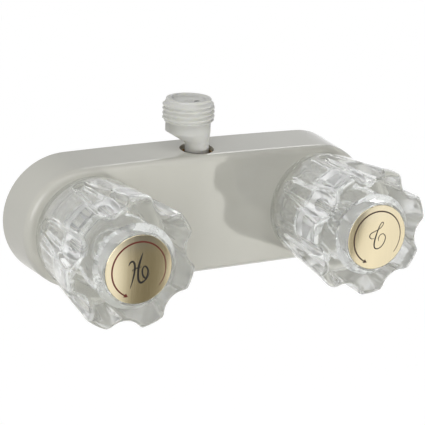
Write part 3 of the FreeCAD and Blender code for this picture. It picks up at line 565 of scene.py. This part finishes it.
def curve_through(points, steps=7):
    """Points of a smooth line through given points, each with a width."""
    ends = [points[0], *points, points[-1]]
    line = []
    for before, start, end, after in zip(ends, ends[1:], ends[2:], ends[3:]):
        for step in range(steps):
            t = step / steps
            line.append(tuple(
                0.5 * (2 * b + (c - a) * t + (2 * a - 5 * b + 4 * c - d) * t * t
                       + (3 * b - a - 3 * c + d) * t ** 3)
                for a, b, c, d in zip(before, start, end, after)))
    line.append(points[-1])
    return line


def printed_line(work, line, on_dome, relief, material):
    """Raised line of ink along (across, up, width) points. Lanes are shares of the width and relief."""
    lanes = ((-0.5, -0.5), (-0.32, 1.0), (0.32, 1.0), (0.5, -0.5))
    rings = []
    for index, (across, up, width) in enumerate(line):
        before = line[max(index - 1, 0)]
        after = line[min(index + 1, len(line) - 1)]
        heading = Vector((after[0] - before[0], after[1] - before[1])).normalized()
        normal = Vector((-heading.y, heading.x))
        ring = []
        for lane, lift in lanes:
            aside = normal * lane * width
            ring.append(work.verts.new(on_dome(across + aside.x, up + aside.y, relief * lift)))
        rings.append(ring)
    bridge(work, rings, material=material)
    for ring in (rings[0], list(reversed(rings[-1]))):
        work.faces.new(ring).material_index = material


def arrow_line(marks):
    """Points of the turning arrow's shaft, from its thin tail to its head."""
    steps = 72
    thin = 0.028
    swell = 0.026
    swelling_run = 0.75
    line = []
    for step in range(steps + 1):
        share = step / steps
        place = marks.arrow_start + (marks.arrow_end - marks.arrow_start) * share
        width = thin + swell * math.sin(math.pi * share * swelling_run)
        line.append((marks.arrow_radius * math.cos(place), marks.arrow_radius * math.sin(place), width))
    return line


def arrow_head(marks):
    """Points of the arrow's head, as a line that narrows to its tip."""
    steps = 6
    long = 0.12
    wide = 0.15
    lap = 0.02
    tip = 0.008
    line = []
    for step in range(steps + 1):
        share = step / steps
        place = marks.arrow_end + (share * long - lap) / marks.arrow_radius
        line.append((marks.arrow_radius * math.cos(place), marks.arrow_radius * math.sin(place),
                     wide * (1 - share) + tip))
    return line


def button_piece(temperature, strokes, materials, marks):
    """Domed button with a rolled rim, its collar behind, and its letter and arrow in raised ink."""
    low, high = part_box(temperature + "_index_button")
    centre_x = (low.x + high.x) / 2
    radius = (high.x - low.x) / 2
    front = -low.y
    back = -high.y
    dome = millimetres(1.0)
    rim_round = millimetres(0.28)
    seat = back + millimetres(4.0)
    collar = millimetres(7.5)
    collar_inside = millimetres(6.3)
    collar_floor = seat + millimetres(0.5)
    dome_radius = (radius ** 2 + dome ** 2) / (2 * dome)

    def height_at(distance):
        return front - dome_radius + math.sqrt(dome_radius ** 2 - distance ** 2)

    def on_dome(across, up, lift):
        distance = radius * math.hypot(across, up)
        return Vector((centre_x + radius * across, -height_at(distance) - lift, radius * up))

    crown_share = 0.975
    crown_steps = 24
    rim_steps = 6
    facets = 128
    profile = []
    for step in range(1, crown_steps + 1):
        distance = radius * crown_share * step / crown_steps
        profile.append((distance, height_at(distance)))
    rim_middle = radius - rim_round
    rim_height = height_at(rim_middle) - rim_round
    for step in range(1, rim_steps):
        bend = math.pi / 2 * (1 - step / rim_steps)
        profile.append((rim_middle + rim_round * math.cos(bend), rim_height + rim_round * math.sin(bend)))
    profile += [(radius, rim_height), (radius, seat), (collar, seat), (collar, back), (collar_inside, back),
                (collar_inside, collar_floor)]
    work = bmesh.new()
    rings = lathed(work, profile, Vector((centre_x, 0, 0)), OUT_OF_WALL, RIGHT, facets)
    bridge(work, rings)
    for ring, height in ((rings[0], height_at(0)), (rings[-1], collar_floor)):
        middle = work.verts.new((centre_x, -height, 0))
        for index in range(facets):
            work.faces.new((ring[index], ring[(index + 1) % facets], middle))
    for stroke in strokes:
        printed_line(work, curve_through(stroke), on_dome, marks.relief, material=1)
    for line in (arrow_line(marks), arrow_head(marks)):
        printed_line(work, line, on_dome, marks.relief, material=2)
    piece = mesh_piece(temperature + "_button", work, materials)
    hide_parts(temperature + "_index_button")
    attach(piece, temperature + "_handle")
    return piece


# Operators

class DressCover(Operator):
    """Glossy moulded bisque on the cover"""
    bl_idname = "shower_valve.dress_cover"
    bl_label = "Cover"

    def execute(self, context):
        colours = context.scene.valve_colours
        bisque = moulded_plastic("bisque_plastic", colours.cover, roughness=0.11, shade=0.97, relief=0.05)
        finish_node("cover", bisque)
        return {"FINISHED"}


class DressKnobs(Operator):
    """Clear moulded acrylic on the two lobed knobs"""
    bl_idname = "shower_valve.dress_knobs"
    bl_label = "Knobs"

    def execute(self, context):
        colours = context.scene.valve_colours
        for temperature in SIDES:
            acrylic = clear_acrylic(temperature + "_knob_acrylic", colours.acrylic, temperature)
            finish_node(temperature + "_knob", acrylic)
        return {"FINISHED"}


class BuildButtons(Operator):
    """Domed gold index buttons with a script letter and a turning arrow"""
    bl_idname = "shower_valve.build_buttons"
    bl_label = "Index buttons"

    def execute(self, context):
        colours = context.scene.valve_colours
        marks = context.scene.valve_marks
        gold = brushed_metal("satin_gold", colours.gold, roughness=0.17, stretch=(4000, 300, 60), relief=0.05)
        letter = printed_ink("letter_ink", colours.letter)
        arrows = {"hot": printed_ink("hot_arrow_ink", colours.hot_arrow),
                  "cold": printed_ink("cold_arrow_ink", colours.cold_arrow)}
        strokes = {"hot": HOT_STROKES, "cold": COLD_STROKES}
        for temperature in SIDES:
            button_piece(temperature, strokes[temperature], [gold, letter, arrows[temperature]], marks)
        return {"FINISHED"}


class DressInserts(Operator):
    """Finishes of the stems, bonnets, nuts, screws, seals and springs"""
    bl_idname = "shower_valve.dress_inserts"
    bl_label = "Valve inserts"

    def execute(self, context):
        colours = context.scene.valve_colours
        acetal = moulded_plastic("natural_acetal", colours.acetal, roughness=0.38, Subsurface_Weight=0.15,
                                 Subsurface_Radius=(0.001, 0.001, 0.0008))
        steel = brushed_metal("plated_steel", colours.steel, roughness=0.28, stretch=(300, 300, 40))
        rubber = plain_rubber("black_rubber", colours.rubber)
        for temperature in SIDES:
            for part in ("stem", "bonnet", "cover_nut"):
                finish_node(temperature + "_" + part, acetal)
            for part in ("knob_screw", "seal_spring", "wall_washer"):
                finish_node(temperature + "_" + part, steel)
            for part in ("stem_ring", "port_seal"):
                finish_node(temperature + "_" + part, rubber)
        finish_node("breaker_poppet", acetal)
        finish_node("breaker_clip", steel)
        finish_node("breaker_gasket", rubber)
        finish_node("breaker_neck_rings", rubber)
        return {"FINISHED"}


def tower_rim(piece):
    """Carries the outlet tower up into the cover's hole, with a wide mouth round the breaker's neck."""
    low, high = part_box("breaker_neck_rings")
    axis = Vector(((low.x + high.x) / 2, (low.y + high.y) / 2, 0))
    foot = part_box("waterway")[1].z
    below_cover = millimetres(2.2)
    spigot_height = millimetres(2.3)
    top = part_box("cover")[1].z - below_cover
    shoulder = top - spigot_height
    ring_gap = millimetres(0.35)
    mouth_step = millimetres(0.75)
    spigot_wall = millimetres(0.65)
    inner = (high.x - low.x) / 2 + ring_gap
    mouth = inner + mouth_step
    spigot = mouth + spigot_wall
    outer = millimetres(7.3)
    lip = millimetres(0.2)
    profile = (
        (inner, foot), (outer, foot), (outer, shoulder - lip), (outer - lip, shoulder), (spigot, shoulder),
        (spigot, top - lip), (spigot - lip, top), (mouth, top), (mouth, foot + lip), (inner, foot + lip),
    )
    work = bmesh.new()
    work.from_mesh(piece.data)
    bridge(work, lathed(work, profile, axis, UP, RIGHT, facets=96), closed=True)
    work.to_mesh(piece.data)
    work.free()


class BuildWaterway(Operator):
    """Cast brass waterway with threaded shanks, and its lock nuts"""
    bl_idname = "shower_valve.build_waterway"
    bl_label = "Waterway"

    def execute(self, context):
        threads = context.scene.valve_threads
        colours = context.scene.valve_colours
        brass = cast_metal("cast_brass", colours.brass, colours.plate, roughness=0.34)
        thread_start = millimetres(2.5)
        past_end = millimetres(1)
        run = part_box("waterway")[1].y - thread_start + past_end
        piece = copy_of("waterway", "waterway_threaded")
        tower_rim(piece)
        for temperature in SIDES:
            low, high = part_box(temperature + "_wall_washer")
            foot = Vector(((low.x + high.x) / 2, thread_start, 0))
            carve(piece, thread_cutter(foot, INTO_WALL, UP, THREAD_RADIUS, run, threads))
            finish_node(temperature + "_lock_nut", brass)
        piece.data.materials.clear()
        piece.data.materials.append(brass)
        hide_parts("waterway")
        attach(piece, "valve_body")
        return {"FINISHED"}


class BuildBreaker(Operator):
    """Milky vacuum breaker with its hose thread, and its outlet plate"""
    bl_idname = "shower_valve.build_breaker"
    bl_label = "Vacuum breaker"

    def execute(self, context):
        threads = context.scene.valve_threads
        colours = context.scene.valve_colours
        milky = moulded_plastic("milky_plastic", colours.breaker, roughness=0.42, Subsurface_Weight=0.8,
                                Subsurface_Radius=(0.006, 0.006, 0.005))
        thread_depth = millimetres(10.2)
        run = millimetres(9.4)
        piece = copy_of("breaker_body", "breaker_body_threaded")
        low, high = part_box("breaker_outlet_plate")
        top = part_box("breaker_body")[1].z
        foot = Vector(((low.x + high.x) / 2, (low.y + high.y) / 2, top - thread_depth))
        carve(piece, thread_cutter(foot, UP, INTO_WALL, THREAD_RADIUS, run, threads))
        piece.data.materials.clear()
        piece.data.materials.append(milky)
        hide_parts("breaker_body")
        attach(piece, "valve_body")
        plate = moulded_plastic("outlet_plate_plastic", colours.breaker, roughness=0.42)
        # Painted shade in the plate's water port, where its bore wall would lie in shadow
        paint_port_shade(plate, (low + high) / 2, high.z)
        finish_node("breaker_outlet_plate", plate)
        return {"FINISHED"}


def paint_port_shade(material, middle, nub_top):
    """Paints shade into the deep inside of the plate's water port: a near-black base colour below the nub's
    top.
    """
    offset = millimetres(4.3)
    way = math.radians(-56)
    radius = millimetres(1.75)
    below = millimetres(0.42)
    port = middle + Vector((math.cos(way), math.sin(way), 0)) * offset
    tree = material.node_tree
    axes = axes_of(tree)
    distance = hypotenuse(tree, maths(tree, "SUBTRACT", axes["X"], port.x),
                          maths(tree, "SUBTRACT", axes["Y"], port.y))
    inside = product(tree, maths(tree, "LESS_THAN", distance, radius),
                     maths(tree, "LESS_THAN", axes["Z"], nub_top - below))
    recoloured(tree, tree.nodes["Principled BSDF"], inside, PORT_PAINTED_SHADE)


class BuildStage(Operator):
    """Pale floor, soft studio light and the camera"""
    bl_idname = "shower_valve.build_stage"
    bl_label = "Stage"

    def execute(self, context):
        stage = context.scene.valve_stage
        build_floor(stage)
        build_world(stage)
        for name, (place, aim, size, passed_by) in LAMPS.items():
            watts = getattr(stage, name + "_power")
            lamp = add_lamp(name + "_lamp", MIDDLE + Vector(place), MIDDLE + Vector(aim), size, watts)
            for ray in passed_by:
                setattr(lamp, "visible_" + ray, False)
        add_camera()
        context.scene.view_settings.view_transform = "Standard"
        light_paths = context.scene.cycles
        light_paths.max_bounces = CLEAR_BOUNCES
        light_paths.glossy_bounces = CLEAR_BOUNCES
        light_paths.transmission_bounces = CLEAR_BOUNCES
        light_paths.transparent_max_bounces = CLEAR_BOUNCES
        return {"FINISHED"}


def build_floor(stage):
    """Wide pale floor under the valve, white to the camera where nothing shades it."""
    steps = 16
    work = bmesh.new()
    bmesh.ops.create_grid(work, x_segments=steps, y_segments=steps, size=FLOOR_HALF)
    bmesh.ops.translate(work, verts=work.verts, vec=(0, 0, stage.floor_height))
    material, tree, shader = new_material("pale_floor", Roughness=0.9)
    tree.links.new(tinted(tree, noise(tree, 3), stage.floor, 0.99), shader.inputs["Base Color"])
    rays = tree.nodes.new("ShaderNodeLightPath")
    white = tree.nodes.new("ShaderNodeEmission")
    place = tree.nodes.new("ShaderNodeTexCoord")
    way = place.outputs["Object"]
    tree.links.new(brightness_seen(tree, rays, way, FLOOR_WHITE), white.inputs["Strength"])
    tree.links.new(warmth_seen(tree, rays, way), white.inputs["Color"])
    shadow = product(tree, rays.outputs["Is Camera Ray"], FLOOR_SHADOW)
    share = maths(tree, "SUBTRACT", seen_directly(tree, rays), shadow)
    mix = mixed_shader(tree, share, shader.outputs["BSDF"], white.outputs["Emission"])
    tree.links.new(mix, tree.nodes["Material Output"].inputs["Surface"])
    mesh_piece("floor", work, [material])


def seen_directly(tree, rays):
    """1 for rays from the camera, from gloss and through clear pieces."""
    mirrored = maths(tree, "MAXIMUM", rays.outputs["Is Glossy Ray"], rays.outputs["Is Transmission Ray"])
    return maths(tree, "MAXIMUM", rays.outputs["Is Camera Ray"], mirrored)


def bearing(tree, across, ahead):
    """Angle between two of a direction's axes as a share of a turn, where ahead is one half."""
    return maths(tree, "ADD", product(tree, maths(tree, "ARCTAN2", across, ahead), 1 / FULL_TURN), 0.5)


def compass(tree, axes):
    """Bearing round the valve from its front, towards the right."""
    return bearing(tree, axes["X"], product(tree, axes["Y"], -1))


def brightness_seen(tree, rays, way, white):
    """White for the camera, the surround's brightness for gloss, and its panels too for clear pieces."""
    axes = split_axes(tree, way)
    gloss = brightness_ramp(tree, compass(tree, axes), GLOSS_SURROUND)
    clear = product(tree, brightness_ramp(tree, compass(tree, axes), CLEAR_SURROUND),
                    brightness_ramp(tree, bearing(tree, axes["Z"], axes["X"]), CLEAR_PANELS))
    mirrored = blended(tree, rays.outputs["Is Transmission Ray"], gloss, clear)
    return product(tree, blended(tree, rays.outputs["Is Camera Ray"], mirrored, 1.0), white)


def warmth_seen(tree, rays, way):
    """Colour of the surround: white for the camera and clear pieces, warmer where it is dark for gloss."""
    gloss = brightness_ramp(tree, compass(tree, split_axes(tree, way)), GLOSS_SURROUND)
    other = maths(tree, "MAXIMUM", rays.outputs["Is Camera Ray"], rays.outputs["Is Transmission Ray"])
    tint = tree.nodes.new("ShaderNodeCombineColor")
    tint.inputs["Red"].default_value = 1.0
    for channel, exponent in GLOSS_WARMTH:
        warm = maths(tree, "POWER", gloss, exponent)
        tree.links.new(blended(tree, other, warm, 1.0), tint.inputs[channel])
    return tint.outputs["Color"]


def blended(tree, share, first, second):
    """Number between the first and the second."""
    mix = tree.nodes.new("ShaderNodeMix")
    tree.links.new(share, mix.inputs["Factor"])
    for socket, value in (("A", first), ("B", second)):
        if isinstance(value, (int, float)):
            mix.inputs[socket].default_value = value
        else:
            tree.links.new(value, mix.inputs[socket])
    return mix.outputs["Result"]


def brightness_ramp(tree, place, steps):
    """Brightness round the compass, from pairs of degrees and brightness."""
    ramp = tree.nodes.new("ShaderNodeValToRGB")
    ramp.color_ramp.elements[0].position = 0.0
    ramp.color_ramp.elements[1].position = 1.0
    for degrees, _ in steps[1:-1]:
        ramp.color_ramp.elements.new(degrees / 360 + 0.5)
    for element, (_, bright) in zip(ramp.color_ramp.elements, steps):
        element.color = (bright, bright, bright, 1)
    tree.links.new(place, ramp.inputs["Fac"])
    return ramp.outputs["Color"]


def build_world(stage):
    """White surroundings for the camera, gloss and glass, and a softer light for the rest."""
    world = bpy.data.worlds.new("studio")
    bpy.context.scene.world = world
    world.use_nodes = True
    tree = world.node_tree
    background = tree.nodes["Background"]
    background.inputs["Color"].default_value = (1, 1, 1, 1)
    rays = tree.nodes.new("ShaderNodeLightPath")
    place = tree.nodes.new("ShaderNodeTexCoord")
    lean = tree.nodes.new("ShaderNodeVectorMath")
    lean.operation = "DOT_PRODUCT"
    lean.inputs[1].default_value = AMBIENT_FROM
    tree.links.new(place.outputs["Generated"], lean.inputs[0])
    leaning = product(tree, lean.outputs["Value"], stage.ambient_lean)
    soft = maths(tree, "ADD", leaning, stage.ambient)
    seen = brightness_seen(tree, rays, place.outputs["Generated"], 1.0)
    tree.links.new(blended(tree, seen_directly(tree, rays), soft, seen), background.inputs["Strength"])


def add_lamp(name, place, target, size, watts):
    """Oval area lamp aimed at a point."""
    lamp = bpy.data.lights.new(name, "AREA")
    lamp.shape = "ELLIPSE"
    lamp.size, lamp.size_y = size
    lamp.energy = watts
    holder = bpy.data.objects.new(name, lamp)
    holder.location = place
    holder.rotation_euler = (place - target).to_track_quat("Z", "Y").to_euler()
    bpy.context.scene.collection.objects.link(holder)
    return holder


def add_camera():
    """Camera at the photograph's angle: 27.6 degrees to the left of the front and 17.8 above it."""
    turn = math.radians(27.575)
    dip = math.radians(17.788)
    roll = math.radians(2.213)
    aim = Vector((0, -0.040, 0))
    distance = 0.56937
    offset = Vector((-0.00537, 0.00650, 0))
    focal_pixels = 1453.88
    picture_width = 425
    camera = bpy.data.cameras.new("camera")
    camera.sensor_width = 36
    camera.lens = focal_pixels / picture_width * camera.sensor_width
    camera.clip_start = 0.01
    camera.clip_end = 50
    facing = (Matrix.Rotation(-turn, 4, "Z") @ Matrix.Rotation(math.pi / 2 - dip, 4, "X")
              @ Matrix.Rotation(roll, 4, "Z"))
    holder = bpy.data.objects.new("camera", camera)
    place = aim + facing.to_3x3() @ (offset + Vector((0, 0, distance)))
    holder.matrix_world = Matrix.Translation(place) @ facing
    bpy.context.scene.collection.objects.link(holder)
    bpy.context.scene.camera = holder


OPERATORS = (DressCover, DressKnobs, BuildButtons, DressInserts, BuildWaterway, BuildBreaker, BuildStage)


class ShowerValvePanel(Panel):
    """Lists the valve's settings and operators"""
    bl_idname = "VIEW3D_PT_shower_valve"
    bl_label = "Shower Valve"
    bl_space_type = "VIEW_3D"
    bl_region_type = "UI"
    bl_category = "Shower Valve"

    def draw(self, context):
        for name in SETTINGS:
            group = getattr(context.scene, name)
            for key in group.bl_rna.properties.keys():
                if key not in ("rna_type", "name"):
                    self.layout.prop(group, key)
        for operator in OPERATORS:
            self.layout.operator(operator.bl_idname)


SETTINGS = {"valve_colours": ValveColours, "valve_threads": ValveThreads, "valve_marks": ValveMarks,
            "valve_stage": ValveStage}


def register():
    for group in SETTINGS.values():
        bpy.utils.register_class(group)
    for name, group in SETTINGS.items():
        setattr(bpy.types.Scene, name, PointerProperty(type=group))
    for operator in OPERATORS:
        bpy.utils.register_class(operator)
    bpy.utils.register_class(ShowerValvePanel)


def unregister():
    bpy.utils.unregister_class(ShowerValvePanel)
    for operator in reversed(OPERATORS):
        bpy.utils.unregister_class(operator)
    for name in SETTINGS:
        delattr(bpy.types.Scene, name)
    for group in reversed(SETTINGS.values()):
        bpy.utils.unregister_class(group)


def main():
    """Registers the add-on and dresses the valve."""
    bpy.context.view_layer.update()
    register()
    for operator in OPERATORS:
        group, call = operator.bl_idname.split(".")
        getattr(getattr(bpy.ops, group), call)()


if __name__ == "__main__":
    main()
